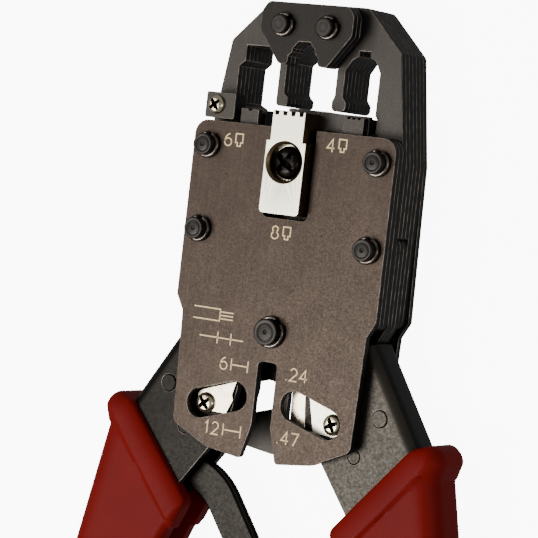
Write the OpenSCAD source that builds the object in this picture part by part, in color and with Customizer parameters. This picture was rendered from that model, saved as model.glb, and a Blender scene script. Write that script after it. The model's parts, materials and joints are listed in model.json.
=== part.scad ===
// Lever crimping tool for modular telephone and network plugs, lying on its back.
// X runs across the tool, Y along it with the jaws at +Y, and Z up out of its front.
// The origin is under the middle of the tool, on the surface that it rests on.
// Outlines are drawn about the centre pin, and depths are counted back from the front cover's face.

/* [Plates] */
// Thickness of one pressed steel plate
plate_t = 1.5; // [1.45:0.05:1.55]
// Top of the head above the centre pin
head_top = 66.8; // [66:0.2:68]
// Half width of the laminated frame
frame_hw = 23.1; // [22.9:0.1:23.3]
// Half width of the front cover and its spacers
cover_hw = 23.7; // [23.2:0.1:24.2]
// Top edge of the front cover above the centre pin
cover_top = 41.3; // [40.8:0.1:41.6]
// Half width of the cover and back plate below their step
lobe_hw = 21.9; // [21.6:0.1:22.2]
// Width of the slot that a cable is laid in
cable_slot = 4.4; // [4.3:0.1:4.6]

/* [Plug cavities] */
// Width of the cavity for eight-way plugs
cavity_8 = 11.9; // [11.8:0.05:12]
// Width of the cavity for four-way plugs
cavity_4 = 7.9; // [7.8:0.05:8]

/* [Pins] */
// Radius of the side frame pins
side_pin_r = 2.25; // [2.1:0.05:2.3]
// Radius of the centre pin
centre_pin_r = 2.75; // [2.5:0.05:2.85]
// Radius of the two pins through the anvil plates
anvil_pin_r = 1.95; // [1.8:0.05:2.1]
// How far the side and centre pins stand out of the cover
pin_proud = 2.6; // [2.2:0.1:2.8]
// Radial clearance of every pin in its hole
pin_fit = 0.05; // [0.03:0.01:0.08]

/* [Handles] */
// Thickness of the folded steel sheet
sheet_t = 1.6; // [1.5:0.05:1.65]
// Outside depth of the folded channel
channel_depth = 9.2; // [9:0.1:9.3]
// Thickness of the moulded grips
grip_t = 14.4; // [14:0.1:14.8]
// Radius of the round end of each grip
grip_end_r = 8.2; // [8:0.1:8.4]

/* [Ratchet] */
// Width of the curved ratchet strut
strut_w = 7; // [6.6:0.1:7.2]
// Width of its straight toothed end
rack_w = 5; // [4.8:0.1:5]
// Spacing of the ratchet teeth
tooth_pitch = 2; // [1.9:0.1:2.1]

/* [Hidden] */
$fn = 64;

head_t = 10 * plate_t;          // cover, two spacers, six frame plates and a back plate
gap = 0.05;                     // running gap between plates that slide
arch_d = 3 * plate_t;           // depth of the first frame plate
back_d = 9 * plate_t;           // depth of the back plate
mid_d = head_t - grip_t / 2;    // depth of the handles' middle plane, with the grips' backs level with the head's
face_z = head_t;                // height of the cover's front face
channel_d = mid_d - channel_depth / 2;
lever_d = 4 * plate_t + gap;    // the levers take the place of the second to fourth frame plates
lever_t = 3 * plate_t - 2 * gap;

side_pins = [[20, 36.2], [19.95, 18.9]];
pivot = [19.95, 18.9];
anvil_pins = [[5.2, 61.9]];
ring_wire = 0.9;

grip_end = [53.3, -130.5];
axis_y = (grip_end_r - grip_end.y - head_top) / 2;   // the centre pin above the tool's middle

cable_r = cable_slot / 2;
window_out = [15.2, -16.6];
window_in = [7.1, -14.1];
window_r = 3.05;
blade_screw_at = [15.2, -16.7];

channel_top = [22, 0.5];
channel_bend = [37.6, -24];
channel_end = [55.2, -125];
channel_dir = atan2(channel_bend.y - channel_top.y, channel_bend.x - channel_top.x);
lever_rivet = [25.2, -14];
tail_rivet = [20.4, -22.4];
rivet_r = 1.75;
tail_rivet_r = 1.4;

neck_at = [-21.1, -43.9];       // middle of the strut's curved neck
neck_r = 12.1;
strut_dir = -54.5;              // direction of its straight end
strut_len = 94.8;
strut_eye = neck_at + neck_r * [cos(102), sin(102)];
strut_d = mid_d - 1.45;
strut_plate_t = 1.4;
strut_bend = neck_at + neck_r * [cos(90 + strut_dir), sin(90 + strut_dir)];
strut_tip = strut_bend + strut_len * [cos(strut_dir), sin(strut_dir)];
tooth_h = 0.8;
rack_teeth = 12;
strut_pin_r = 1.5;
pawl_at = [46.2, -98.5];
pawl_pin_r = 1.2;

screw_at = [0, 34.3];
block_screw_at = [-19.3, 44.5];

black = [0.16, 0.15, 0.145];
cover_brown = [0.27, 0.25, 0.24];
bright = [0.85, 0.84, 0.8];
red = [0.5, 0.06, 0.06];

// ---- outlines from corner points [x, y, radius] ----

function unit(v) = v / norm(v);
function xy(p) = [p.x, p.y];
function radius(p) = len(p) > 2 ? p.z : 0;

// The corner b between a and c, turned into a round one of its radius.
function corner(a, b, c, steps) =
    radius(b) == 0 ? [xy(b)] :
    let (
        u = unit(xy(a) - xy(b)),
        w = unit(xy(c) - xy(b)),
        half = acos(u * w) / 2,
        middle = xy(b) + unit(u + w) * radius(b) / sin(half),
        from = xy(b) + u * radius(b) / tan(half) - middle,
        start = atan2(from.y, from.x),
        sweep = (cross(u, w) > 0 ? -1 : 1) * (180 - 2 * half)
    )
    [for (i = [0:steps]) middle + radius(b) * [cos(start + sweep * i / steps), sin(start + sweep * i / steps)]];

function rounded(pts, steps = 6) =
    let (n = len(pts))
    [for (i = [0:n - 1]) each corner(pts[(i + n - 1) % n], pts[i], pts[(i + 1) % n], steps)];

// A right-hand list of corners from top to bottom, closed with its mirror image.
function both_sides(half) =
    concat(half, [for (i = [len(half) - 1:-1:0]) [-half[i].x, half[i].y, radius(half[i])]]);

// ---- placing ----

// Extrudes an outline between two depths behind the cover's face.
module slab(from_d, to_d)
    translate([0, axis_y, face_z - to_d])
        linear_extrude(to_d - from_d) children();

// A shaft along Z at a point of the outline plane, between two depths.
module shaft(at, r, from_d, to_d)
    translate([at.x, at.y + axis_y, face_z - to_d])
        cylinder(h = to_d - from_d, r = r);

module both() {
    children();
    mirror([1, 0, 0]) children();
}

module stadium(a, b, r) {
    way = atan2(b.y - a.y, b.x - a.x);
    polygon(concat(
        [for (t = [90:15:270]) a + r * [cos(way + t), sin(way + t)]],
        [for (t = [-90:15:90]) b + r * [cos(way + t), sin(way + t)]]));
}

module holes(points, r)
    for (p = points, side = [-1, 1])
        translate([side * p.x, p.y]) circle(r = r + pin_fit);

// ---- head: fixed plates ----

// Lower lobes with the cable slot between them, right half from the step down.
lobe_half = [[cover_hw, 4.9, 0.5], [lobe_hw, 1.7, 0.5], [21.2, -21.3, 2], [12.6, -25.3, 6],
    [4.2, -26.4, 0.8], [cable_r, -19.3, 1], [cable_r, -6.2, 0.9]];

module front_cover() color(cover_brown)
    slab(0, plate_t) difference() {
        polygon(rounded(both_sides(concat([[5.2, 23, 1], [5.2, cover_top], [cover_hw, cover_top, 3]], lobe_half))));
        holes(side_pins, side_pin_r);
        circle(r = centre_pin_r + pin_fit);
        for (side = [-1, 1])
            stadium([side * window_out.x, window_out.y], [side * window_in.x, window_in.y], window_r);
    }

// The spacers make room for the dies and the contact driver behind the cover.
module front_spacer(i) color(black)
    slab(i * plate_t, (i + 1) * plate_t) difference() {
        polygon(rounded(both_sides([[5.2, 23, 1], [5.2, 26.8], [15.6, 26.8, 1], [15.6, cover_top],
            [cover_hw, cover_top, 3], [cover_hw, 3.3, 1.5]])));
        holes(side_pins, side_pin_r);
    }

// Outside of the frame arch, right side, from the crown down.
arch_half = [[11.5, head_top, 2], [20, 58.3, 1.5], [frame_hw, 36.4, 2]];

// Plug cavities and the posts between them, from the right leg across to the left one.
left_8 = 5.7 - cavity_8;
right_4 = 7.6 + cavity_4;
cavities = [[16, 44.8], [right_4, 45.6], [right_4, 54], [14.4, 56.2], [12.9, 57], [12.9, 58.1], [10.4, 58.1],
    [10.4, 57], [9, 56.2], [7.6, 54], [7.6, 48.6, 1], [8.5, 47.6, 0.5], [8.5, 45.6, 1], [5.2, 45.6, 1],
    [5.2, 47.6, 0.5], [5.7, 48.6, 1], [5.7, 54.6], [3.6, 56.5], [1.7, 58.3], [-2.2, 58.3], [-4.1, 56.5],
    [left_8, 54.6], [left_8, 48.4, 1], [-5.1, 47.4, 0.5], [-5.1, 45.6, 0.8], [-7.9, 45.6, 0.8],
    [-7.9, 57.4], [-16.2, 57.4], [-16.2, 54.2], [-17.6, 53], [-17.6, 45.6], [-16, 44.8]];

module arch_outline(leg_end)
    difference() {
        polygon(rounded(concat(
            arch_half, [[frame_hw, leg_end, 2.2], [16, leg_end, 2.2]], cavities,
            [[-16, leg_end, 2.2], [-frame_hw, leg_end, 2.2]],
            [for (i = [2:-1:0]) [-arch_half[i].x, arch_half[i].y, arch_half[i].z]])));
        holes(side_pins, side_pin_r);
        holes(anvil_pins, anvil_pin_r);
        translate(block_screw_at) circle(r = 1.25);
    }

// Plates two to four stop short above the levers' eyes, which fill the same gap.
module frame_plate(i) color(black)
    slab(arch_d + i * plate_t, arch_d + (i + 1) * plate_t) difference() {
        arch_outline(3.3);
        if (i >= 1 && i <= 3)
            for (side = [-1, 1])
                union() {
                    translate([side * 19.4, 10.4]) square([10, 18], center = true);
                    translate([side * 17.2, 20.4]) square([5.6, 6], center = true);
                    translate([side * pivot.x, pivot.y + 0.5]) circle(r = 3.9);
                }
    }

module back_plate() color(black)
    slab(back_d, head_t) difference() {
        polygon(rounded(concat(
            arch_half, lobe_half, [for (i = [6:-1:0]) [-lobe_half[i].x, lobe_half[i].y, lobe_half[i].z]],
            [for (i = [2:-1:0]) [-arch_half[i].x, arch_half[i].y, arch_half[i].z]])));
        polygon(rounded(concat(cavities, [[-16, 38, 1], [16, 38, 1]])));
        holes(side_pins, side_pin_r);
        holes(anvil_pins, anvil_pin_r);
        circle(r = centre_pin_r + pin_fit);
        for (side = [-1, 1])
            stadium([side * window_out.x, window_out.y], [side * window_in.x, window_in.y], window_r);
    }

module anvil_plate(i) color(black)
    slab(i * plate_t, (i + 1) * plate_t) difference() {
        polygon(rounded(both_sides([[9.4, head_top - 0.3, 1.4], [10.75, 64.6, 1.2], [10.75, 60.6, 1.4],
            [5.7, 54, 1.3], [3.5, 54, 0.7], [3.5, 55.7], [2.6, 56.6], [2.6, 57.3], [1.3, 58.7, 0.4]]), 5));
        holes(anvil_pins, anvil_pin_r);
    }

// ---- head: pins, rings and the small block ----

// Chamfered front end of a pin, with a groove for its ring just above the plate.
module ringed_pin(at, r, proud, front_d)
    translate([at.x, at.y + axis_y, face_z - head_t])
        rotate_extrude() polygon([
            [0, 0], [r, 0],
            [r, head_t - front_d + 0.1], [r - ring_wire / 2, head_t - front_d + 0.1],
            [r - ring_wire / 2, head_t - front_d + 0.1 + ring_wire * 1.2], [r, head_t - front_d + 0.1 + ring_wire * 1.2],
            [r, head_t - front_d + proud - 0.3], [r - 0.3, head_t - front_d + proud],
            [0.5, head_t - front_d + proud], [0, head_t - front_d + proud - 0.35]]);

// Open wire ring sprung into the groove.
module snap_ring(at, r, front_d, turn)
    translate([at.x, at.y + axis_y, face_z - front_d + 0.1 + ring_wire * 0.6])
        rotate([0, 0, turn]) rotate_extrude(angle = 325)
            translate([r + ring_wire * 0.15, 0]) circle(r = ring_wire / 2, $fn = 24);

module upper_pins() color(black) both() ringed_pin(side_pins[0], side_pin_r, pin_proud, 0);
module pivot_pins() color(black) both() ringed_pin(side_pins[1], side_pin_r, pin_proud, 0);
module centre_pin() color(black) ringed_pin([0, 0], centre_pin_r, pin_proud, 0);
module anvil_pins() color(black) both() ringed_pin(anvil_pins[0], anvil_pin_r, pin_proud - 0.3, 0);

module side_pin_rings() color(black)
    for (p = side_pins, side = [-1, 1])
        snap_ring([side * p.x, p.y], side_pin_r, 0, 100);

module centre_pin_ring() color(black) snap_ring([0, 0], centre_pin_r, 0, 70);

module anvil_pin_rings() color(black)
    for (side = [-1, 1])
        snap_ring([side * anvil_pins[0].x, anvil_pins[0].y], anvil_pin_r, 0, 60);

module side_block() color(black)
    slab(0.3, arch_d) difference() {
        polygon(rounded([[-22, 41.8, 0.4], [-14.9, 41.8, 0.4], [-14.9, 47.1, 0.4], [-22, 47.1, 0.4]]));
        translate(block_screw_at) circle(r = 1.35);
    }

// A round-headed screw with a cross recess: its head stands head_t out of the surface at depth d.
module pan_screw(at, head_r, head_h, shank_r, d, length)
    translate([at.x, at.y + axis_y, face_z - d]) difference() {
        union() {
            rotate_extrude() polygon(rounded([[0, 0], [head_r, 0, 0.05], [head_r, head_h, head_h * 0.7], [0, head_h]]));
            translate([0, 0, -length]) cylinder(h = length + 0.1, r = shank_r);
        }
        for (a = [45, 135])
            translate([0, 0, head_h]) rotate(a) cube([head_r * 1.25, head_r * 0.3, head_h * 1.1], center = true);
    }

module side_block_screw() color(bright) pan_screw(block_screw_at, 2, 1.1, 1.2, 0.3, 8);

// Coil round the centre pin with two short legs that push the levers apart.
spring_r = 4;
spring_d0 = 5.2;
module return_spring() color(bright) {
    shaft_h = 5;
    slab(spring_d0, spring_d0 + shaft_h) difference() {
        circle(r = spring_r + 0.6);
        circle(r = spring_r - 0.6);
    }
    both() slab(spring_d0, spring_d0 + 1.2)
        polygon([[3.4, 2.4], [4.5, 1], [7.3, -6.3], [6.2, -6.9], [3.3, 0]]);
}

// ---- ram: what slides up towards the cavities ----

ram_front = arch_d + gap;
ram_t = (back_d - arch_d - 2 * gap) / 3;

module ram_plate(i) color(black)
    slab(ram_front + i * ram_t, ram_front + (i + 1) * ram_t) difference() {
        polygon(rounded([[15.7, 27], [15.7, 41], [14.8, 41.8], [14.8, 44.8, 0.3], [10.1, 44.8, 0.3], [10.1, 41],
            [4.65, 41], [4.65, 45.4, 0.3], [-4.65, 45.4, 0.3], [-4.65, 41], [-9.8, 41], [-9.8, 44.4, 0.3],
            [-14.1, 44.4, 0.3], [-14.1, 41], [-15.7, 41], [-15.7, 27], [-14.8, 26], [-14.8, 18.5],
            [-6, 13.15], [6, 13.15], [14.8, 18.5], [14.8, 26]]));
        translate(screw_at) circle(r = 1.75);
        for (p = [[12.4, 33], [8, 22]], side = [-1, 1])
            translate([side * p.x, p.y]) circle(r = 1.5 + pin_fit);
    }

module ram_bar() color(black)
    slab(2 * plate_t, arch_d - gap) difference() {
        polygon(rounded([[15.2, 28.5, 1], [15.2, 45.2, 0.4], [3, 45.2, 0.4], [3, 41], [-14.5, 41], [-14.5, 28.5, 1]]));
        translate(screw_at) circle(r = 2.05);
        for (side = [-1, 1])
            translate([side * 12.4, 33]) circle(r = 1.5 + pin_fit);
    }

// Small die plates that close the narrow cavities; the bumps press the contacts home.
module die_plate(middle, width, top, bumps)
    slab(plate_t + gap, 2 * plate_t) difference() {
        translate([middle - width / 2, 29]) square([width, top - 29]);
        translate([sign(middle) * 12.4, 33]) circle(r = 1.5 + pin_fit);
        for (i = [1:bumps])
            translate([middle - width / 2 + i * width / (bumps + 1), top]) circle(r = 0.45, $fn = 24);
    }

module die_six() color(black) die_plate(-11.95, 4.3, 44.4, 1);
module die_four() color(black) die_plate(12.45, 4.7, 44.8, 3);

driver_d = -2.7;
module contact_driver() color(bright) difference() {
    slab(driver_d, 2 * plate_t) polygon(rounded(concat(
        [[4.65, 23.8, 0.8], [4.65, 38.5], [3.8, 38.5], [3.8, 44.6]],
        [for (i = [0:3]) each [[2.85 - 1.9 * i + 0.5, 44.6], [2.85 - 1.9 * i + 0.35, 43.7],
            [2.85 - 1.9 * i - 0.35, 43.7], [2.85 - 1.9 * i - 0.5, 44.6]]],
        [[-3.8, 44.6], [-3.8, 38.5], [-4.65, 38.5], [-4.65, 23.8, 0.8]]), 3));
    shaft(screw_at, 2.1, driver_d - 1, 2 * plate_t + 1);
    translate([screw_at.x, screw_at.y + axis_y, face_z - driver_d - 2.4]) cylinder(h = 3, r = 3.7);
    translate([screw_at.x, screw_at.y + axis_y, face_z - driver_d - 0.65]) cylinder(h = 0.7, r1 = 3.7, r2 = 4.35);
    translate([-6, 23.8 + axis_y, face_z - driver_d]) rotate([45, 0, 0]) cube([12, 2.6, 2.6], center = false);
    translate([-6, 21 + axis_y, face_z - driver_d - 1.2]) rotate([25, 0, 0]) cube([12, 5.2, 4]);
}

module driver_screw() color(black)
    pan_screw(screw_at, 3.4, 2, 1.7, driver_d + 2.4, 9);

module ram_rivets() color(black) {
    both() shaft([12.4, 33], 1.5, plate_t + gap, back_d - gap);
    both() shaft([8, 22], 1.5, ram_front, back_d - gap);
}

// ---- handles, drawn on the right and mirrored for the left ----

channel_edge = [[8.4, -4], [8.4, -13], [9.8, -20.5], [13.3, -25.2], [23.4, -38.9], [38.3, -75], [47.3, -125]];

module channel_outline()
    polygon(concat([channel_top], channel_edge, [channel_end, channel_bend]));

// Sections of the folded sheet: x is measured in from the web, y back from the front wall.
module outer_section()
    polygon(rounded([[0, 0, 2.6], [0, channel_depth, 2.6], [60, channel_depth], [60, 0]], 10));

module inner_section()
    polygon(rounded([[sheet_t, sheet_t, 1], [sheet_t, channel_depth - sheet_t, 1],
        [70, channel_depth - sheet_t], [70, sheet_t]], 6));

// Carries a section along the line of the web, past both of the given points.
module along_web(from, to)
    translate([from.x, from.y + axis_y, face_z - channel_d])
        rotate([0, 0, atan2(to.y - from.y, to.x - from.x) - 90]) rotate([-90, 0, 0])
            translate([0, 0, -40]) linear_extrude(180) children();

module both_runs() intersection() {
    along_web(channel_top, channel_bend) children();
    along_web(channel_bend, channel_end) children();
}

module channel() difference() {
    intersection() {
        slab(0, head_t) channel_outline();
        both_runs() outer_section();
    }
    both_runs() inner_section();
    shaft(lever_rivet, rivet_r + pin_fit, 0, head_t);
    shaft(tail_rivet, tail_rivet_r + pin_fit, 0, head_t);
    shaft(blade_screw_at, 1.3, 0, 6);
}

module lever_plate(i)
    slab(lever_d + i * lever_t / 3, lever_d + (i + 1) * lever_t / 3) difference() {
        polygon(rounded([[frame_hw, 22.9, 3.3], [15.95, 22.9, 3.3], [15.95, 17.56, 1], [6.2, 13], [1.6, 13, 1.98],
            [1.6, 9, 1.98], [10.8, 9, 1], [12.2, 4], [13.2, -9], [17.6, -25, 2], [22.5, -27, 2],
            [31.3, -18, 2], [20.5, -0.6, 1], [frame_hw, 4.2, 1]]));
        translate(pivot) circle(r = side_pin_r + pin_fit);
        translate(lever_rivet) circle(r = rivet_r + pin_fit);
        translate(tail_rivet) circle(r = tail_rivet_r + pin_fit);
    }

module handle_rivets() {
    shaft(lever_rivet, rivet_r, channel_d - 0.3, channel_d + channel_depth + 0.3);
    shaft(tail_rivet, tail_rivet_r, channel_d - 0.1, channel_d + channel_depth + 0.2);
}

grip_outer = [39.4, -24.4];
module grip_outline() {
    down = unit([grip_end.x + grip_end_r, grip_end.y] - grip_outer);
    side = [-down.y, down.x];
    outer_end = grip_end + grip_end_r * (down + side);
    inner_end = grip_end + grip_end_r * (down - side);
    polygon(rounded([[33.2, -19], [38.6, -16.6, 3], [40.6, -20.5, 2], grip_outer,
        [outer_end.x, outer_end.y, grip_end_r - 0.3], [inner_end.x, inner_end.y, grip_end_r - 0.3],
        [34.6, -75, 40], [17.2, -37.8, 2]], 12));
}

// The grip is moulded round the channel and open along its inner side.
module grip() difference() {
    slab(mid_d - grip_t / 2, mid_d + grip_t / 2) grip_outline();
    slab(channel_d - gap, channel_d + channel_depth + gap)
        polygon([channel_top, [5, -4], for (i = [3:6]) channel_edge[i] - [gap, 0.4], channel_end + [gap, -0.4],
            channel_bend + [gap, gap]]);
    slab(channel_d + sheet_t, channel_d + channel_depth - sheet_t)
        polygon([[24, -30], [10, -30], [10, -70], [40, -134], [54.4, -134], [53.2, -125], [42, -75]]);
}

module blade(slant) {
    slab(2.6, channel_d - 0.02) difference() {
        translate(blade_screw_at) rotate(160)
            polygon(rounded([[-2.5, -2.4, 1.2], [-2.5, 2.4, 1.2], [5.6 - slant, 2.4], [8 - slant, -2.4]]));
        translate(blade_screw_at) circle(r = 1.3);
    }
}

module blade_screw() pan_screw(blade_screw_at, 2.2, 1, 1.25, 2.6, 3.2);

module left_channel() color(black) mirror([1, 0, 0]) difference() {
    channel();
    shaft([-strut_eye.x, strut_eye.y], strut_pin_r + pin_fit, 0, head_t);
}
module left_lever_plate(i) color(black) mirror([1, 0, 0]) lever_plate(i);
module left_rivets() color(black) mirror([1, 0, 0]) handle_rivets();
module left_grip() color(red) mirror([1, 0, 0]) grip();
module left_blade() color(bright) mirror([1, 0, 0]) blade(0);
module left_blade_screw() color(bright) mirror([1, 0, 0]) blade_screw();
module strut_pin() color(black) shaft(strut_eye, strut_pin_r, channel_d, channel_d + channel_depth);

module right_channel() color(black) difference() {
    channel();
    shaft(pawl_at, pawl_pin_r + pin_fit, 0, head_t);
}
module right_lever_plate(i) color(black) lever_plate(i);
module right_rivets() color(black) handle_rivets();
module right_grip() color(red) grip();
module right_blade() color(bright) blade(0);
module right_blade_screw() color(bright) blade_screw();
module pawl_pin() color(black) shaft(pawl_at, pawl_pin_r, channel_d, channel_d + channel_depth);

// ---- ratchet ----

// Curved neck round neck_at, then a straight run that narrows to the rack.
module strut_outline() {
    along = [cos(strut_dir), sin(strut_dir)];
    across = [-along.y, along.x];
    rack_from = strut_len - rack_teeth * tooth_pitch - 2;
    neck = [for (a = [102:-6:36]) a];
    outer = [for (a = neck) neck_at + (neck_r + strut_w / 2) * [cos(a), sin(a)]];
    inner = [for (i = [len(neck) - 1:-1:0]) neck_at + (neck_r - strut_w / 2) * [cos(neck[i]), sin(neck[i])]];
    teeth = [for (i = [0:rack_teeth - 1]) each [
        strut_bend + (rack_from + i * tooth_pitch) * along + (rack_w / 2 - tooth_h) * across,
        strut_bend + (rack_from + (i + 0.9) * tooth_pitch) * along + rack_w / 2 * across]];
    polygon(concat(outer,
        [strut_bend + (rack_from - 14) * along + strut_w / 2 * across,
            strut_bend + (rack_from - 4) * along + rack_w / 2 * across,
            strut_bend + (rack_from - 0.1) * along + rack_w / 2 * across],
        teeth,
        [strut_tip + (rack_w / 2 - 1) * across, strut_tip - (rack_w / 2 - 1) * across,
            strut_tip - 1.5 * along - rack_w / 2 * across,
            strut_bend + (rack_from - 4) * along - rack_w / 2 * across,
            strut_bend + (rack_from - 14) * along - strut_w / 2 * across],
        inner,
        [for (a = [276:-12:108]) strut_eye + strut_w / 2 * [cos(a), sin(a)]]));
}

module strut_plate(d)
    slab(d, d + strut_plate_t) difference() {
        strut_outline();
        translate(strut_eye) circle(r = strut_pin_r + pin_fit);
        translate(strut_bend + 20 * [cos(strut_dir), sin(strut_dir)]) circle(r = 1.1);
    }

module strut_plate_front() color(black) strut_plate(strut_d);
module strut_plate_rear() color(black) strut_plate(strut_d + strut_plate_t + 0.1);
module strut_rivet() color(black)
    shaft(strut_bend + 20 * [cos(strut_dir), sin(strut_dir)], 1.05, strut_d, strut_d + 2 * strut_plate_t + 0.1);

module pawl() color(black)
    slab(mid_d - 1.4, mid_d + 1.4) difference() {
        polygon(rounded([[44, -96.3, 2.1], [48.4, -96.3, 2.1], [48.3, -101, 1], [44.6, -107.4],
            [43.2, -107.2], [43.4, -101, 1]]));
        translate(pawl_at) circle(r = pawl_pin_r + pin_fit);
    }

// Coil beside the pawl on its pin.
module pawl_spring() color(bright)
    slab(mid_d + 1.5, mid_d + 2.7) difference() {
        translate(pawl_at) circle(r = 2.2);
        translate(pawl_at) circle(r = 1.5);
    }

front_cover();
front_spacer(1);  // front_spacer_1
front_spacer(2);  // front_spacer_2
frame_plate(0);  // frame_plate_1
frame_plate(1);  // frame_plate_2
frame_plate(2);  // frame_plate_3
frame_plate(3);  // frame_plate_4
frame_plate(4);  // frame_plate_5
frame_plate(5);  // frame_plate_6
back_plate();
anvil_plate(0);  // anvil_plate_1
anvil_plate(1);  // anvil_plate_2
anvil_plate(2);  // anvil_plate_3
upper_pins();
pivot_pins();
centre_pin();
anvil_pins();
side_pin_rings();
centre_pin_ring();
anvil_pin_rings();
side_block();
side_block_screw();
return_spring();
ram_plate(0);  // ram_plate_1
ram_plate(1);  // ram_plate_2
ram_plate(2);  // ram_plate_3
ram_bar();
die_six();
die_four();
contact_driver();
driver_screw();
ram_rivets();
left_channel();
left_lever_plate(0);  // left_lever_plate_1
left_lever_plate(1);  // left_lever_plate_2
left_lever_plate(2);  // left_lever_plate_3
left_rivets();
left_grip();
left_blade();
left_blade_screw();
strut_pin();
right_channel();
right_lever_plate(0);  // right_lever_plate_1
right_lever_plate(1);  // right_lever_plate_2
right_lever_plate(2);  // right_lever_plate_3
right_rivets();
right_grip();
right_blade();
right_blade_screw();
pawl_pin();
strut_plate_front();
strut_plate_rear();
strut_rivet();
pawl();
pawl_spring();
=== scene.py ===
import json
import math

import bmesh
import bpy
import numpy as np
from mathutils import Matrix, Vector

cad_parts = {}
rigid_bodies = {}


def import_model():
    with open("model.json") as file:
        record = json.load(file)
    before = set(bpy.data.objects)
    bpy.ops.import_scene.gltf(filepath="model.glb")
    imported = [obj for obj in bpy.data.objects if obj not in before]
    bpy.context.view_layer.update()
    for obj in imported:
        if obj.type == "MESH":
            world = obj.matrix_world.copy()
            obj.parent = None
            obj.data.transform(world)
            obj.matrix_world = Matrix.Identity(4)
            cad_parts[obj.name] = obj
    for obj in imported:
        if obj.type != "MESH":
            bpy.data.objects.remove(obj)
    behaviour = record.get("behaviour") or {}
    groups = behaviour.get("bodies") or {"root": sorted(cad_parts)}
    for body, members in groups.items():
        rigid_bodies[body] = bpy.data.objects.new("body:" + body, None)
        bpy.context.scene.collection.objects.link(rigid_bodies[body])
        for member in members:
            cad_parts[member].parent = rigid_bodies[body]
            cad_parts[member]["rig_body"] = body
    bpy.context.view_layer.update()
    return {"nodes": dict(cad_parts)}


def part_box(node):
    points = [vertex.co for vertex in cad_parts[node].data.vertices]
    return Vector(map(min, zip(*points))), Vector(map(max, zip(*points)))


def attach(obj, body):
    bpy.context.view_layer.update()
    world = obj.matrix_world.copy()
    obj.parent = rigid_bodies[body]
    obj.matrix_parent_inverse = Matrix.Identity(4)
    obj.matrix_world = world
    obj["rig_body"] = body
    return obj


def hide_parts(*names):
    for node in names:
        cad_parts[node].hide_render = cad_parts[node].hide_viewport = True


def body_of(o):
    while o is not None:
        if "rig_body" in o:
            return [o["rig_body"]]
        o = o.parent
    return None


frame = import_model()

bl_info = {
    "name": "Plug crimping tool looks",
    "version": (1, 0, 0),
    "blender": (4, 5, 0),
    "location": "View3D > Sidebar > Crimping tool",
    "description": "Turned pins, moulded grips, ground blades, springs and finishes for a modular plug crimping tool",
    "category": "Object",
}

MM = 0.001
NODES = frame["nodes"]


# ---- places, in millimetres from the centre pin's axis and the front cover's face ----

def middle(node):
    low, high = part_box(node)
    return (low + high) / 2


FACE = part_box("front_cover")[1].z / MM
AXIS = middle("centre_pin").y / MM
GRIP_MID = middle("left_grip").z / MM - FACE
GRIP_HALF = (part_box("left_grip")[1].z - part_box("left_grip")[0].z) / MM / 2
BACK = -FACE                    # the back plate's rear face


def outer_centre(node, radius):
    """Centre of the right-hand pin of a node whose radius is known."""
    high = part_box(node)[1]
    return np.array([high.x / MM - radius, middle(node).y / MM - AXIS])


def to_row(points):
    """Tool millimetres to metres in the row's frame."""
    return (np.asarray(points, float) + (0, AXIS, FACE)) * MM


def linear(hex_colour):
    """An sRGB hex colour as linear red, green and blue."""
    v = np.array([int(hex_colour[i:i + 2], 16) for i in (1, 3, 5)]) / 255
    return tuple(np.where(v <= 0.04045, v / 12.92, ((v + 0.055) / 1.055) ** 2.4))


# ---- settings ----

def colour(name, hex_colour, note):
    return bpy.props.FloatVectorProperty(
        name=name, description=note, default=linear(hex_colour), size=3, min=0, max=1, subtype="COLOR")


def length(name, mm, note):
    return bpy.props.FloatProperty(name=name, description=note, default=mm * MM, min=0, unit="LENGTH")


class FinishSettings(bpy.types.PropertyGroup):
    """Colours of the finishes."""
    cover: colour("Cover", "#393029", "Tumbled and blackened steel of the front cover")
    frame: colour("Frame", "#3f3b37", "Blackened faces of the punched frame plates")
    # this dark colour goes on every upright face, the channels' webs too, so it is partly the sheared finish and
    # partly painted shade
    punched: colour("Punched edges", "#141312", "Sheared edges of the plates, where the oxide is thickest")
    worn: colour("Worn edges", "#8d8278", "Corners where the oxide has rubbed thin")
    channel: colour("Handle channels", "#3b3731", "Oiled black steel of the folded channels")
    nickel: colour("Nickel", "#fff8e0", "Nickel plate of the contact driver")
    blade: colour("Blade", "#ecdcc2", "Ground blade steel")
    zinc: colour("Zinc", "#cfc2a4", "Bright zinc of the small screws")
    vinyl: colour("Vinyl", "#70100c", "Moulded red vinyl of the grips")
    ink: colour("Ink", "#ffe0a4", "Printed marks on the cover")
    floor: colour("Floor", "#f4f4f2", "Pale floor")


class ShapeSettings(bpy.types.PropertyGroup):
    """Sizes of the small shapes that the solids leave out."""
    edge: length("Edge break", 0.13, "Bevel that tumbling leaves on a punched edge")
    strut_edge: length("Strut edge", 0.45, "Rounding of the ratchet strut's edges")
    rim: length("Grip rim", 5.0, "Width over which a grip rolls down to its channel")
    rim_step: length("Grip rim step", 0.55, "Height of a grip's rim above the grip below it")
    grip_edge: length("Grip edge", 4.2, "Rounding along the sides of a grip")
    grip_inner_edge: length("Grip inner edge", 1.9, "Rounding of a grip's lips beside its slot")
    groove: length("Grip groove", 0.2, "Depth of the groove below a grip's rim")
    spring_wire: length("Spring wire", 1.1, "Diameter of the return spring's wire")
    stroke: length("Ink stroke", 0.27, "Width of a printed line")


def shape(name):
    """A size of ShapeSettings in millimetres."""
    return getattr(bpy.context.scene.crimp_shape, name) / MM


def finish(name):
    return tuple(getattr(bpy.context.scene.crimp_finish, name))


# ---- meshes from arrays ----

def skin(grid, wrap=False):
    """A grid of points (rows, columns, 3) as vertices and quads; wrap joins the last column to the first."""
    rows, columns = grid.shape[:2]
    at = np.arange(rows * columns).reshape(rows, columns)
    nxt = np.roll(at, -1, 1) if wrap else at[:, 1:]
    at = at if wrap else at[:, :-1]
    quads = np.stack([at[:-1], nxt[:-1], nxt[1:], at[1:]], -1).reshape(-1, 4)
    return grid.reshape(-1, 3), quads.tolist()


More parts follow.
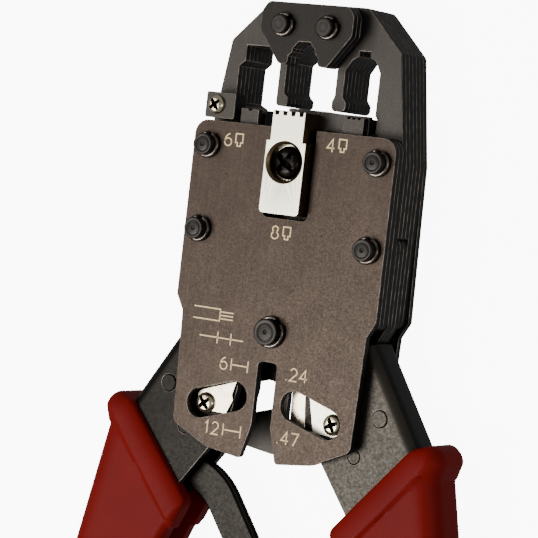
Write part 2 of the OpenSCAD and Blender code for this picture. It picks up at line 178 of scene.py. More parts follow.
def join(*shells):
    """Several (vertices, faces) as one."""
    points, faces, count = [], [], 0
    for v, f in shells:
        points.append(v)
        faces += [[i + count for i in face] for face in f]
        count += len(v)
    return np.concatenate(points), faces


def lathe(profile, centre, steps=96):
    """Turns (radius, height) points about an upright axis: x = cx + r cos a, y = cy + r sin a, z = height."""
    r, z = np.array(profile, float).T
    a = np.linspace(0, 2 * np.pi, steps, endpoint=False)
    grid = np.stack([centre[0] + np.outer(r, np.cos(a)), centre[1] + np.outer(r, np.sin(a)),
                     np.repeat(z[:, None], steps, 1)], -1)
    return skin(grid, wrap=True)


def wire(path, radius, sides=12):
    """A circle carried along a path; its two axes are across the path, level and upright.
    The radius falls to nothing over the last two points at each end, as a quarter circle."""
    path = np.asarray(path, float)
    along = np.gradient(path, axis=0)
    along /= np.linalg.norm(along, axis=1, keepdims=True)
    ends = np.concatenate([path[:1] - along[:1] * radius, path, path[-1:] + along[-1:] * radius])
    along = along[[0, *range(len(path)), -1]]
    level = np.cross((0, 0, 1), along)
    level /= np.linalg.norm(level, axis=1, keepdims=True)
    up = np.cross(along, level)
    size = np.full(len(ends), float(radius))
    size[[0, -1]] = 0
    a = np.linspace(0, 2 * np.pi, sides, endpoint=False)[None, :, None]
    grid = ends[:, None] + size[:, None, None] * (np.cos(a) * level[:, None] + np.sin(a) * up[:, None])
    return skin(grid, wrap=True)


def prism(outline, low, high):
    """A flat outline of (x, y) points between two heights."""
    p = np.asarray(outline, float)
    n = len(p)
    v = np.concatenate([np.column_stack([p, np.full(n, z)]) for z in (low, high)])
    sides = [[i, (i + 1) % n, n + (i + 1) % n, n + i] for i in range(n)]
    return v, sides + [list(range(n))[::-1], list(range(n, 2 * n))]


def arc(centre, radius, start, end, steps=16):
    """Points centre + r (cos a, sin a) for a from start to end degrees; radius may be an (x, y) pair."""
    a = np.radians(np.linspace(start, end, steps))
    return np.asarray(centre) + np.stack([np.cos(a), np.sin(a)], 1) * radius


def rounded(corners, steps=8):
    """Corners [x, y, radius] with each one turned into an arc tangent to both its sides."""
    c = np.array(corners, float)
    out = []
    for a, b, d in zip(np.roll(c, 1, 0), c, np.roll(c, -1, 0)):
        if b[2] == 0:
            out.append(b[None, :2])
            continue
        u, w = (a - b)[:2], (d - b)[:2]
        u, w = u / np.linalg.norm(u), w / np.linalg.norm(w)
        half = math.acos(np.clip(u @ w, -1, 1)) / 2
        centre = b[:2] + (u + w) / np.linalg.norm(u + w) * b[2] / math.sin(half)
        first = b[:2] + u * b[2] / math.tan(half) - centre
        sweep = (math.pi - 2 * half) * (-1 if u[0] * w[1] - u[1] * w[0] > 0 else 1)
        t = math.atan2(first[1], first[0]) + sweep * np.linspace(0, 1, steps)
        out.append(centre + b[2] * np.stack([np.cos(t), np.sin(t)], 1))
    return np.concatenate(out)


def piece(name, shell, body, materials, stands_for=(), crease=32, values=None):
    """Makes a closed piece from tool millimetres, merges its doubles, turns its faces outward and mounts it.
    values holds point attributes by name."""
    points, faces = shell
    mesh = bpy.data.meshes.new(name)
    mesh.from_pydata(to_row(points), [], faces)
    for key, data in (values or {}).items():
        mesh.attributes.new(key, "FLOAT", "POINT").data.foreach_set("value", np.asarray(data, np.float32))
    clean(mesh)
    return mount(name, mesh, body, materials, stands_for, crease)


def clean(mesh, partings=None):
    """Merges doubles and turns the faces outward. With partings (x in millimetres), flat faces become single
    polygons cut along those lines, so that none of them has a hole in it and a bevel runs evenly."""
    bm = bmesh.new()
    bm.from_mesh(mesh)
    bmesh.ops.remove_doubles(bm, verts=bm.verts, dist=2e-7)
    if partings is not None:
        for x in partings:
            cut = bmesh.ops.bisect_plane(bm, geom=[*bm.verts, *bm.edges, *bm.faces], dist=1e-6,
                                         plane_co=(x * MM, 0, 0), plane_no=(1, 0, 0))["geom_cut"]
            for edge in cut:
                if isinstance(edge, bmesh.types.BMEdge):
                    edge.seam = True
        bmesh.ops.dissolve_limit(bm, angle_limit=math.radians(1.5), verts=bm.verts, edges=bm.edges, delimit={"SEAM"})
    bmesh.ops.recalc_face_normals(bm, faces=bm.faces)
    bm.to_mesh(mesh)
    bm.free()


def mount(name, mesh, body, materials, stands_for, crease=32):
    for m in materials:
        mesh.materials.append(m)
    mesh.polygons.foreach_set("use_smooth", np.ones(len(mesh.polygons), bool))
    mesh.set_sharp_from_angle(angle=math.radians(crease))
    made = bpy.data.objects.new(name, mesh)
    bpy.context.scene.collection.objects.link(made)
    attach(made, body)
    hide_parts(*stands_for)
    return made


def broken_edges(node, materials, width, segments=2, flat=0.6, partings=(-19.98, -5.2, 0, 5.2, 19.98)):
    """A copy of a plate with its sharp edges broken by a bevel. Faces whose normal rises more steeply than flat take
    the first material, the other ones the second and the bevel itself the third. The darker second material on the
    upright faces is partly their own finish and partly painted shade."""
    mesh = NODES[node].data.copy()
    mesh.materials.clear()
    clean(mesh, partings)
    normals = np.zeros(len(mesh.polygons) * 3)
    mesh.polygons.foreach_get("normal", normals)
    upright = np.abs(normals.reshape(-1, 3)[:, 2]) < flat
    mesh.polygons.foreach_set("material_index", (upright & (len(materials) > 1)).astype(np.int32))
    body = body_of(NODES[node])[0]
    made = mount(node + "_broken_edges", mesh, body, materials, [node])
    bevel = made.modifiers.new("Broken edges", "BEVEL")
    bevel.width = width * MM
    bevel.segments = segments
    bevel.limit_method = "ANGLE"
    bevel.angle_limit = math.radians(40)
    bevel.harden_normals = True
    bevel.use_clamp_overlap = False
    bevel.material = 2 if len(materials) > 2 else -1
    return made


# ---- materials ----

def add(tree, kind, inputs=None, **settings):
    """Adds a node with its settings, and sets or links its inputs."""
    made = tree.nodes.new(kind)
    for key, value in settings.items():
        setattr(made, key, value)
    for key, value in (inputs or {}).items():
        if isinstance(value, bpy.types.NodeSocket):
            tree.links.new(value, made.inputs[key])
        else:
            made.inputs[key].default_value = value
    return made


def start(name):
    """A new material with its shader and the object coordinates in millimetres."""
    material = bpy.data.materials.new(name)
    material.use_nodes = True
    tree = material.node_tree
    shader = tree.nodes["Principled BSDF"]
    place = add(tree, "ShaderNodeTexCoord").outputs["Object"]
    return material, tree, shader, place


def noise(tree, place, size_mm, stretch=(1, 1, 1), detail=2.0, rough=0.5, turn=0.0):
    """Noise whose grains are about size_mm wide, stretched by a factor along each axis."""
    scale = [1 / s for s in stretch]
    mapped = add(tree, "ShaderNodeMapping", {"Vector": place, "Rotation": (0, 0, turn), "Scale": scale})
    return add(tree, "ShaderNodeTexNoise", {
        "Vector": mapped.outputs[0], "Scale": 1 / (size_mm * MM), "Detail": detail, "Roughness": rough}).outputs[0]


def ramp(tree, value, low, high, to_low=0.0, to_high=1.0):
    """Carries low..high to to_low..to_high, held at both ends."""
    return add(tree, "ShaderNodeMapRange", {
        "Value": value, "From Min": low, "From Max": high, "To Min": to_low, "To Max": to_high}).outputs[0]


def blend(tree, share, a, b, kind="MIX"):
    """Colour a where share is 0 and b where it is 1."""
    full = [tuple(c) + (1,) if isinstance(c, tuple) and len(c) == 3 else c for c in (a, b)]
    return add(tree, "ShaderNodeMix", {0: share, 6: full[0], 7: full[1]},
               data_type="RGBA", blend_type=kind).outputs[2]


def times(tree, a, b, kind="MULTIPLY"):
    return add(tree, "ShaderNodeMath", {0: a, 1: b}, operation=kind).outputs[0]


def dim(rgb, share):
    return tuple(c * share for c in rgb)


def bump(tree, shader, height, depth_mm, strength=1.0):
    made = add(tree, "ShaderNodeBump", {"Height": height, "Distance": depth_mm * MM, "Strength": strength})
    tree.links.new(made.outputs[0], shader.inputs["Normal"])


def tumbled_steel(name, rgb, metal, rough, cloud=0.35, grain_mm=0.4, streak=0.25, pits=True):
    """Blackened steel, tumbled before it was oxidised. It has soft clouds where the oxide is thinner, a fine grain,
    faint draw lines along the plate and a few dark pits."""
    material, tree, shader, place = start(name)
    clouds = ramp(tree, noise(tree, place, 7.0, detail=4.0, rough=0.6), 0.35, 0.68)
    # the true grain of about 0.1 mm is too fine to show, so it is drawn at several times that
    grain = noise(tree, place, grain_mm, detail=3.0, rough=0.65)
    lines = noise(tree, place, 0.55, stretch=(1, 26, 26), detail=3.0, rough=0.6, turn=0.06)
    tone = blend(tree, times(tree, clouds, cloud), rgb, dim(rgb, 1.7))
    tone = blend(tree, times(tree, ramp(tree, lines, 0.42, 0.7), streak), tone, dim(rgb, 1.9))
    tone = blend(tree, ramp(tree, grain, 0.3, 0.7, 0.0, 0.42), tone, dim(rgb, 0.45))
    if pits:
        cells = add(tree, "ShaderNodeTexVoronoi", {"Vector": place, "Scale": 1 / (2.6 * MM)})
        spot = ramp(tree, cells.outputs["Distance"], 0.05, 0.09, 1.0, 0.0)
        tone = blend(tree, times(tree, spot, ramp(tree, noise(tree, place, 9.0), 0.5, 0.56)), tone, dim(rgb, 0.12))
    tree.links.new(tone, shader.inputs["Base Color"])
    tree.links.new(ramp(tree, grain, 0.3, 0.7, rough - 0.07, rough + 0.09), shader.inputs["Roughness"])
    shader.inputs["Metallic"].default_value = metal
    bump(tree, shader, grain, 0.012, 0.7)
    return material


def sheared_edge_and_shade(name, rgb):
    """Punched steel edge under thick oxide: fine shear marks run through the plate, and it hardly shines. Its dark
    colour goes on every upright face, so it is partly this finish and partly painted shade, as on the channels' webs.
    """
    material, tree, shader, place = start(name)
    marks = noise(tree, place, 0.25, stretch=(1, 1, 12), detail=2.0)
    tree.links.new(blend(tree, ramp(tree, marks, 0.35, 0.75), dim(rgb, 0.45), rgb), shader.inputs["Base Color"])
    shader.inputs["Roughness"].default_value = 0.5
    shader.inputs["Specular IOR Level"].default_value = 0.25
    bump(tree, shader, marks, 0.02, 0.6)
    return material


def rubbed_corner(name, rgb, rough=0.4):
    """Steel showing through oxide on a corner, in patches."""
    material, tree, shader, place = start(name)
    patch = ramp(tree, noise(tree, place, 1.6, detail=4.0), 0.35, 0.7)
    tree.links.new(blend(tree, patch, dim(rgb, 0.3), rgb), shader.inputs["Base Color"])
    shader.inputs["Metallic"].default_value = 1.0
    shader.inputs["Roughness"].default_value = rough
    return material


def turned_steel(name, rgb, rough=0.42):
    """Blackened bar, faced off in a lathe: rings about 0.15 mm apart run round its own axis."""
    material, tree, shader, place = start(name)
    reach = add(tree, "ShaderNodeAttribute", attribute_name="reach").outputs["Fac"]
    rings = add(tree, "ShaderNodeTexNoise", {"W": reach, "Scale": 3.4, "Detail": 2.0},
                noise_dimensions="1D").outputs[0]
    dust = noise(tree, place, 0.5, detail=3.0)
    tone = blend(tree, ramp(tree, rings, 0.35, 0.7), dim(rgb, 0.55), dim(rgb, 1.5))
    tree.links.new(blend(tree, ramp(tree, dust, 0.35, 0.7, 0, 0.4), tone, dim(rgb, 0.4)), shader.inputs["Base Color"])
    shader.inputs["Metallic"].default_value = 0.85
    shader.inputs["Roughness"].default_value = rough
    bump(tree, shader, rings, 0.03, 0.8)
    return material


def plated(name, rgb, rough, grime=0.25, grime_mm=3.0):
    """Bright plated or ground metal with a little brown grime and fine grinding lines."""
    material, tree, shader, place = start(name)
    dirt = ramp(tree, noise(tree, place, grime_mm, detail=5.0, rough=0.65), 0.48, 0.75, 0, grime)
    lines = noise(tree, place, 0.12, stretch=(1, 14, 14), detail=2.0, turn=0.3)
    tone = blend(tree, dirt, rgb, (rgb[0] * 0.6, rgb[1] * 0.45, rgb[2] * 0.28))
    # a screw's cross is painted near black: painted shade and dirt in its recess; other pieces lack that attribute
    # and stay bright
    recess = add(tree, "ShaderNodeAttribute", attribute_name="recess").outputs["Fac"]
    tone = blend(tree, recess, tone, (0.004, 0.0035, 0.003))
    tree.links.new(tone, shader.inputs["Base Color"])
    tree.links.new(ramp(tree, lines, 0.3, 0.7, rough - 0.05, rough + 0.06), shader.inputs["Roughness"])
    shader.inputs["Metallic"].default_value = 1.0
    bump(tree, shader, lines, 0.004, 0.5)
    return material


def moulded_vinyl(name, rgb):
    """Plasticised vinyl moulded in a spark-eroded tool: a fine even stipple, waxy gloss and a few paler specks."""
    material, tree, shader, place = start(name)
    # the stipple of about 0.1 mm is drawn at 0.3 mm, so that it shows
    stipple = noise(tree, place, 0.3, detail=2.0, rough=0.6)
    cloud = noise(tree, place, 14.0, detail=2.0)
    tone = blend(tree, ramp(tree, cloud, 0.35, 0.7, 0, 0.5), rgb, dim(rgb, 0.72))
    tone = blend(tree, ramp(tree, stipple, 0.62, 0.75, 0, 0.5), tone, (rgb[0] * 1.5, rgb[1] * 3, rgb[2] * 3))
    tree.links.new(tone, shader.inputs["Base Color"])
    tree.links.new(ramp(tree, stipple, 0.3, 0.7, 0.42, 0.56), shader.inputs["Roughness"])
    shader.inputs["IOR"].default_value = 1.53
    shader.inputs["Specular IOR Level"].default_value = 0.06
    bump(tree, shader, stipple, 0.03, 0.5)
    return material


def printed_ink(name, rgb):
    """Baked screen ink, thinner in places."""
    material, tree, shader, place = start(name)
    thin = ramp(tree, noise(tree, place, 0.5, detail=3.0), 0.35, 0.7, 0.0, 0.4)
    tree.links.new(blend(tree, thin, rgb, dim(rgb, 0.5)), shader.inputs["Base Color"])
    shader.inputs["Roughness"].default_value = 0.55
    return material


MATERIALS = {}


def make_materials():
    f = finish
    punched = dict(cloud=0.2, grain_mm=0.3, streak=0.1, pits=False)
    MATERIALS.update(
        cover=tumbled_steel("Tumbled black steel, cover", f("cover"), 0.9, 0.42),
        frame=tumbled_steel("Black oxide, punched plate", f("frame"), 0.9, 0.46, **punched),
        edge=sheared_edge_and_shade("Sheared steel edge", f("punched")),
        worn=rubbed_corner("Rubbed steel corner", f("worn")),
        channel=tumbled_steel("Oiled black channel steel", f("channel"), 0.9, 0.45,
                              cloud=0.5, grain_mm=0.6, streak=0.1),
        anvil=tumbled_steel("Black oxide, anvil plate", dim(f("frame"), 0.45), 0.9, 0.46, **punched),
        # the left channel and its rivets take the channel steel at a quarter of its colour: painted shade on a shaded
        # part, not a different finish
        oiled=tumbled_steel("Fresh oiled black channel steel", dim(f("channel"), 0.25), 0.9, 0.4,
                            cloud=0.25, grain_mm=0.5, streak=0.1),
        strut=tumbled_steel("Oiled black strut steel", dim(f("channel"), 0.3), 0.9, 0.4,
                            cloud=0.4, grain_mm=0.5, streak=0.1),
        pin=turned_steel("Turned black pin", dim(f("frame"), 0.6)),
        dark=rubbed_corner("Black screw oxide", dim(f("frame"), 0.5), 0.35),
        nickel=plated("Satin nickel plate", f("nickel"), 0.42, grime=0.06),
        tarnish=plated("Tarnished nickel", (0.15, 0.1, 0.055), 0.4),
        ring=rubbed_corner("Bright wire under thin oxide", dim(f("worn"), 0.8), 0.3),
        blade=plated("Ground blade steel", f("blade"), 0.3, grime=0.6, grime_mm=1.5),
        zinc=plated("Bright zinc", f("zinc"), 0.22),
        spring=plated("Drawn spring wire", dim(f("zinc"), 0.4), 0.35),
        vinyl=moulded_vinyl("Red moulded vinyl", f("vinyl")),
        ink=printed_ink("Baked screen ink", f("ink")),
    )


# ---- pieces ----

class CRIMP_OT_plates(bpy.types.Operator):
    """Breaks the edges of every punched plate, the channels and the strut, and gives the rest their finish"""
    bl_idname = "crimp.plates"
    bl_label = "Plates"

    def execute(self, context):
        m = MATERIALS
        edge = shape("edge")
        plain = [m["frame"], m["edge"], m["worn"]]
        broken_edges("front_cover", [m["cover"], m["edge"], m["worn"]], edge)
        for node in ("front_spacer_1", "front_spacer_2", "back_plate", "side_block", "ram_bar", "die_six", "die_four",
                     *(f"frame_plate_{i}" for i in range(1, 7)), *(f"ram_plate_{i}" for i in (1, 2, 3))):
            broken_edges(node, plain, edge)
        for i in (1, 2, 3):
            broken_edges(f"anvil_plate_{i}", [m["anvil"], m["edge"], m["worn"]], edge)
        # the left channel takes the darkened copy of the channel steel as painted shade
        for side, face in (("left", "oiled"), ("right", "channel")):
            # the channels' webs are upright, so they take the dark sheared-edge colour as painted shade
            broken_edges(side + "_channel", [m[face], m["edge"], m["worn"]], edge)
            for i in (1, 2, 3):
                broken_edges(f"{side}_lever_plate_{i}", plain, edge)
        for node in ("strut_plate_front", "strut_plate_rear"):
            broken_edges(node, [m["strut"]], shape("strut_edge"), segments=3)
        # the driver's chamfers and sides take a dark brown nickel: partly tarnish, and on the shaded sides painted
        # shade
        broken_edges("contact_driver", [m["nickel"], m["tarnish"]], 0.1, flat=0.95)
        for node, key in (("left_rivets", "oiled"), ("right_rivets", "channel"), ("ram_rivets", "dark"),
                          ("strut_rivet", "dark"), ("strut_pin", "dark"), ("pawl_pin", "dark")):
            broken_edges(node, [m[key]], 0.2)
        broken_edges("pawl", [m["frame"], m["edge"], m["worn"]], edge)
        return {"FINISHED"}


class CRIMP_OT_pins(bpy.types.Operator):
    """Turns the frame pins, with a chamfered and faced front end, a groove for the ring and a lathe centre mark"""
    bl_idname = "crimp.pins"
    bl_label = "Pins"

    def execute(self, context):
        for node, r, proud in (("upper_pins", 2.25, 2.6), ("pivot_pins", 2.25, 2.6), ("centre_pin", 2.75, 2.6),
                               ("anvil_pins", 1.95, 2.3)):
            # from the rear end round to the front face and its centre mark
            profile = [(0, BACK), (r, BACK), (r, 0.1), (r - 0.45, 0.1), (r - 0.45, 1.18), (r, 1.18),
                       *arc((r - 0.3, proud - 0.3), 0.3, 0, 90, 6)]
            if node == "anvil_pins":
                profile += [(r * 0.6, proud - 0.01), (r * 0.3, proud - 0.01), (0, proud - 0.01)]
            else:
                profile += [(r * 0.70, proud), (r * 0.66, proud - 0.05), (r * 0.62, proud),
                            (0.55, proud), (0.45, proud - 0.12), (0.2, proud - 0.2), (0, proud - 0.35)]
            centres = [(0, 0)] if node == "centre_pin" else [outer_centre(node, r) * (s, 1) for s in (1, -1)]
            shells = [lathe(profile, c, 72) for c in centres]
            reach = np.tile(np.repeat([p[0] for p in profile], 72), len(centres))
            piece(node + "_turned", join(*shells), "frame", [MATERIALS["pin"]], [node],
                  values={"reach": reach})
        return {"FINISHED"}


class CRIMP_OT_rings(bpy.types.Operator):
    """Bends the open snap rings round the pins: a circle of wire with a gap of 35 degrees"""
    bl_idname = "crimp.rings"
    bl_label = "Snap rings"

    def execute(self, context):
        wire_r = 0.45
        height = 0.1 + wire_r * 1.2
        for node, pins, r, turn in (("side_pin_rings", ("upper_pins", "pivot_pins"), 2.25, 100),
                                    ("centre_pin_ring", (), 2.75, 70),
                                    ("anvil_pin_rings", ("anvil_pins",), 1.95, 60)):
            centres = [outer_centre(p, r) * (s, 1) for p in pins for s in (1, -1)] or [(0, 0)]
            shells = []
            for c in centres:
                flat = arc(c, r + 0.12, turn, turn + 325, 60)
                shells.append(wire(np.column_stack([flat, np.full(60, height)]), wire_r))
            piece(node + "_bent", join(*shells), "frame", [MATERIALS["ring"]], [node])
        return {"FINISHED"}


def cross_head(centre, radius, height, base, turn, arm=0.23, reach=0.68):
    """A pan head as a height over a disc: z = base + height sqrt(1 - e^2), where e grows from 0 at 0.45 of the
    radius to 1 at its edge, less a cross whose arms narrow outward and whose middle is deeper."""
    r = np.concatenate([np.linspace(0, 0.9, 44), np.linspace(0.915, 1, 12)]) * radius
    a = np.linspace(0, 2 * np.pi, 144, endpoint=False)
    x, y = np.outer(r, np.cos(a)), np.outer(r, np.sin(a))
    dome = height * np.sqrt(np.clip(1 - (np.clip(r / radius - 0.45, 0, 1) / 0.55) ** 2, 0, 1))
    z = np.repeat(dome[:, None], len(a), 1)
    c, s = math.cos(math.radians(turn)), math.sin(math.radians(turn))
    p, q = (c * x + s * y) / radius, (c * y - s * x) / radius
    soft = 0.05
    cut = np.zeros_like(z)
    for across, out in ((p, q), (q, p)):
        wide = arm * (1 - 0.35 * np.abs(out) / reach)
        arm_cut = np.clip((wide - np.abs(across)) / soft, 0, 1) * np.clip((reach - np.abs(out)) / soft, 0, 1)
        cut = np.maximum(cut, arm_cut)
    deep = 0.62 * height + 0.3 * height * np.clip(1 - np.hypot(p, q) / 0.4, 0, 1)
    z = z - cut * deep
    top = np.stack([x + centre[0], y + centre[1], z + base], -1)
    under = np.stack([np.full(len(a), centre[0]), np.full(len(a), centre[1]), np.full(len(a), base)], -1)[None]
    # a mask of the cross, which plated paints near black as painted shade and dirt
    recess = np.append(np.clip(cut * 1.5, 0, 1), np.zeros((1, len(a))), 0).ravel()
    return skin(np.concatenate([top, under]), wrap=True), recess


class CRIMP_OT_screws(bpy.types.Operator):
    """Makes the four cross-head screws"""
    bl_idname = "crimp.screws"
    bl_label = "Screws"

    def execute(self, context):
        block = middle("side_block_screw")
        block_at = (block.x / MM, block.y / MM - AXIS)
        driver = middle("driver_screw")
        for node, at, r, h, base, shank, far, turn, key, slot in (
                ("side_block_screw", block_at, 2.0, 1.1, -0.3, 1.2, -8.3, 38, "zinc", "zinc_screws"),
                ("driver_screw", (0, driver.y / MM - AXIS), 3.4, 2.0, 0.3, 1.7, -8.7, 52, "dark", "black_steel"),
                ("left_blade_screw", (-15.2, -16.7), 2.2, 1.0, -2.6, 1.25, -5.8, 40, "zinc", "zinc_screws"),
                ("right_blade_screw", (15.2, -16.7), 2.2, 1.0, -2.6, 1.25, -5.8, 25, "zinc", "zinc_screws")):
            body = body_of(NODES[node])[0]
            shaft = lathe([(0, far), (shank, far), (shank, base + 0.01), (0, base + 0.01)], at, 32)
            head, recess = cross_head(at, r, h, base, turn)
            recess = np.append(recess, np.zeros(len(shaft[0])))
            piece(node + "_cross_head", join(head, shaft), body, [MATERIALS[key]], [node], crease=50,
                  values={"recess": recess})
        return {"FINISHED"}


def measured(line):
    """Distance along a line of points, from its start."""
    return np.concatenate([[0], np.cumsum(np.linalg.norm(np.diff(line, axis=0), axis=1))])


def along(line, distance):
    """Points on a line at these distances from its start."""
    at = measured(line)
    return np.stack([np.interp(distance, at, line[:, k]) for k in (0, 1)], -1)


def off_line(points, line):
    """Least distance from each point to a line of straight steps."""
    a, b = line[:-1], line[1:]
    flat = points.reshape(-1, 1, 2)
    run = b - a
    t = np.clip(((flat - a) * run).sum(-1) / np.maximum((run ** 2).sum(-1), 1e-12), 0, 1)
    return np.linalg.norm(flat - a - t[..., None] * run, axis=-1).min(1).reshape(points.shape[:-1])


def grip_shell(side):
    """One moulded grip. Its plan is a patch between the rim, the two long edges and the round end:
    point = (1 - v) inner + v outer + the bow of the rim and of the end, each fading down the length.
    Its half thickness is the lesser of two quarter ellipses, one rising from the rim over the rolled band and one
    from the edges, less a groove that follows the rim. A slot runs in from the inner edge to the channel's web."""
    inner = np.array([17.2, -37.8])
    down = np.array([34.6, -75.0]) - inner
    down /= np.linalg.norm(down)
    across = np.array([-down[1], down[0]])
    step = inner + 6.6 * down
    end, end_r = np.array([53.3, -130.5]), 8.2
    run = end + (end_r, 0) - (39.4, -24.4)
    run /= np.linalg.norm(run)
    beside = np.array([-run[1], run[0]])
    outline = rounded([[33.2, -19, 1.5], [38.6, -16.6, 3], [40.6, -20.5, 2], [39.4, -24.4, 1.2],
                       [*(end + end_r * (run + beside)), end_r - 0.01],
                       [*(end + end_r * (run - beside)), end_r - 0.01],
                       [34.6, -75, 40], [*(step + 0.8 * across + 0.3 * down), 0.5], [*step, 0.4], [*inner, 2.2]], 16)
    ring = np.concatenate([outline, outline[:1]])
    size = measured(ring)[-1]
    # the patch's corners on the outline, by distance: top of the bulge, each side of the end, and the inner corner
    def nearest(point):
        fine = np.linspace(0, size, 4000)
        return fine[np.argmin(np.linalg.norm(along(ring, fine) - point, axis=1))]
    bulge = nearest((39.9, -18.3))
    low_out, low_in = nearest(end + end_r * (run + beside) * 0.72), nearest(end + end_r * (run - beside) * 0.72)
    corner = nearest(inner + (0.9, 0.35))
    cut = lambda a, b: along(ring, np.linspace(a, b, 1200) % size)
    outer_line, end_line = cut(bulge, low_out), cut(low_in, low_out)
    inner_line, rim_line = cut(corner, low_in), cut(corner, size + bulge)

    rim, edge, inner_edge = shape("rim"), shape("grip_edge"), shape("grip_inner_edge")
    below_rim = np.array([0.3, 0.5, 0.65, 0.8, 0.95, 1.1, 1.3, 1.6, 2.0, 2.6, 3.4])
    top = np.concatenate([[0, 0.1, 0.3, 0.6], np.linspace(1, rim, 9), rim + below_rim])
    rest = np.linspace(0, 1, 44)[1:-1]
    tail = np.array([5, 3.2, 2, 1.2, 0.7, 0.35, 0.1, 0])
    lengths = measured(inner_line)[-1], measured(outer_line)[-1]
    # rows by distance from the rim, the same at both edges near the rim and near the end
    rows = [np.concatenate([top, top[-1] + (n - top[-1] - tail[0]) * rest, n - tail]) for n in lengths]
    a, b = along(inner_line, rows[0]), along(outer_line, rows[1])
    u = (rows[0] / lengths[0] + rows[1] / lengths[1]) / 2
    down_bow, up_bow = np.clip(1 - u, 0, 1) ** 2.2, np.clip(u, 0, 1) ** 6

    def at(v):
        """Plan points for shares v (rows, columns) of the way from the inner to the outer edge."""
        out = (1 - v)[..., None] * a[:, None] + v[..., None] * b[:, None]
        for line, fade in ((rim_line, down_bow), (end_line, up_bow)):
            total = measured(line)[-1]
            bow = along(line, v * total) - ((1 - v)[..., None] * line[0] + v[..., None] * line[-1])
            out = out + fade[:, None, None] * bow
        return out

    # the slot ends on the middle of the channel's web, and below the channel it stops
    web = np.array([[22, 0.5], [37.6, -24], [55.2, -125]]) - (0.8, 0)
    share = np.tile(np.linspace(0, 1, 300), (len(u), 1))
    past = at(share)
    beyond = past[..., 0] - np.interp(-past[..., 1], -web[:, 1], web[:, 0])
    slot_end = np.take_along_axis(share, np.argmax(beyond > 0, 1)[:, None], 1)[:, 0]
    last = int(np.argmin(np.abs(a[:, 1] + 132.5)))
    slot_end[last + 1:] = slot_end[last]
    width = np.linalg.norm(b - a, axis=1)
    near = np.array([0, 0.05, 0.2, 0.45, 0.8, 1.2, 1.6, 2.0, 2.4])
    near_share = near[None] / np.maximum(width, 5.5)[:, None]
    few = np.linspace(0, 1, 16)[None, 1:-1]
    between = near_share[:, -1:] + (slot_end[:, None] - near_share[:, -1:]) * few
    first = np.concatenate([near_share, between, slot_end[:, None]], 1)
    far_share = 1 - near_share[:, ::-1]
    second = np.concatenate([slot_end[:, None] + (far_share[:, :1] - slot_end[:, None]) * few, far_share], 1)
    v = np.concatenate([first, second], 1)
    J, N = first.shape[1] - 1, v.shape[1]
    plan = at(v)

    lip = 5.3
    from_rim = off_line(plan, rim_line)
    from_inner = off_line(plan, inner_line)
    from_outer = off_line(plan, np.concatenate([outer_line, end_line[::-1]]))
    from_side = np.minimum(from_inner, from_outer)
    quarter = lambda d, r: np.sqrt(np.clip(1 - np.clip(1 - d / r, 0, 1) ** 2, 0, 1))
    full = GRIP_HALF - 0.05
    # past the channel the rim comes down to the height of the rounded side, so that the thumb stop is round
    lip = lip + (full - edge - lip) * np.clip((v - 0.76) / 0.2, 0, 1) ** 1.5
    up_rim = lip + (full - lip) * quarter(from_rim, rim)
    height = np.minimum(up_rim, full - edge + edge * quarter(from_outer, edge))
    height = np.minimum(height, full - inner_edge + inner_edge * quarter(from_inner, inner_edge))
    fade = np.clip(from_side / 1.0, 0.35, 1)
    height = height - shape("groove") * fade * np.exp(-((from_rim - rim - 0.75) / 0.35) ** 2)
    height = height - shape("rim_step") * np.clip((from_rim - rim - 0.4) / 0.6, 0, 1)
    slot = 3.02

    M = len(u)
    level = lambda z, cols: np.concatenate([plan[:, :cols], np.asarray(z)[..., None]], -1)
    front, back = level(height, N), level(-height, N)
    pocket_front = level(np.full((M, J + 1), slot), J + 1)
    pocket_back = level(np.full((M, J + 1), -slot), J + 1)
    points = np.concatenate([g.reshape(-1, 3) for g in (front, back, pocket_front, pocket_back)])
    points[:, 2] += GRIP_MID
    points[:, 0] *= side
    F = np.arange(M * N).reshape(M, N)
    B = F + M * N
    PF = np.arange(M * (J + 1)).reshape(M, J + 1) + 2 * M * N
    PB = PF + M * (J + 1)
    quad = lambda p, q, r, s: np.stack([p, q, r, s], -1).reshape(-1, 4).tolist()
    faces = []
    for g in (F, B):
        faces += quad(g[:-1, :-1], g[:-1, 1:], g[1:, 1:], g[1:, :-1])
    L = last + 1
    for g in (PF[:L], PB[:L]):
        faces += quad(g[:-1, :-1], g[:-1, 1:], g[1:, 1:], g[1:, :-1])
    faces += quad(F[:-1, -1], F[1:, -1], B[1:, -1], B[:-1, -1])             # outer side
    faces += quad(F[:L - 1, 0], F[1:L, 0], PF[1:L, 0], PF[:L - 1, 0])       # front lip
    faces += quad(B[:L - 1, 0], B[1:L, 0], PB[1:L, 0], PB[:L - 1, 0])       # rear lip
    faces += quad(PF[:L - 1, J], PF[1:L, J], PB[1:L, J], PB[:L - 1, J])     # bottom of the slot
    faces += quad(PF[last, :-1], PF[last, 1:], PB[last, 1:], PB[last, :-1])  # end of the slot
    faces.append([F[last, 0], PF[last, 0], PB[last, 0], B[last, 0], B[L, 0], F[L, 0]])
    faces += quad(F[L:-1, 0], F[L + 1:, 0], B[L + 1:, 0], B[L:-1, 0])       # inner side below the slot
    faces += quad(F[0, :J], F[0, 1:J + 1], PF[0, 1:], PF[0, :-1])           # rim, each side of the slot
    faces += quad(B[0, :J], B[0, 1:J + 1], PB[0, 1:], PB[0, :-1])
    faces.append([F[0, J], PF[0, J], PB[0, J], B[0, J], B[0, J + 1], F[0, J + 1]])
    faces += quad(F[0, J + 1:-1], F[0, J + 2:], B[0, J + 2:], B[0, J + 1:-1])
    faces += quad(F[-1, :-1], F[-1, 1:], B[-1, 1:], B[-1, :-1])             # round end
    return points, [[int(i) for i in f] for f in faces]


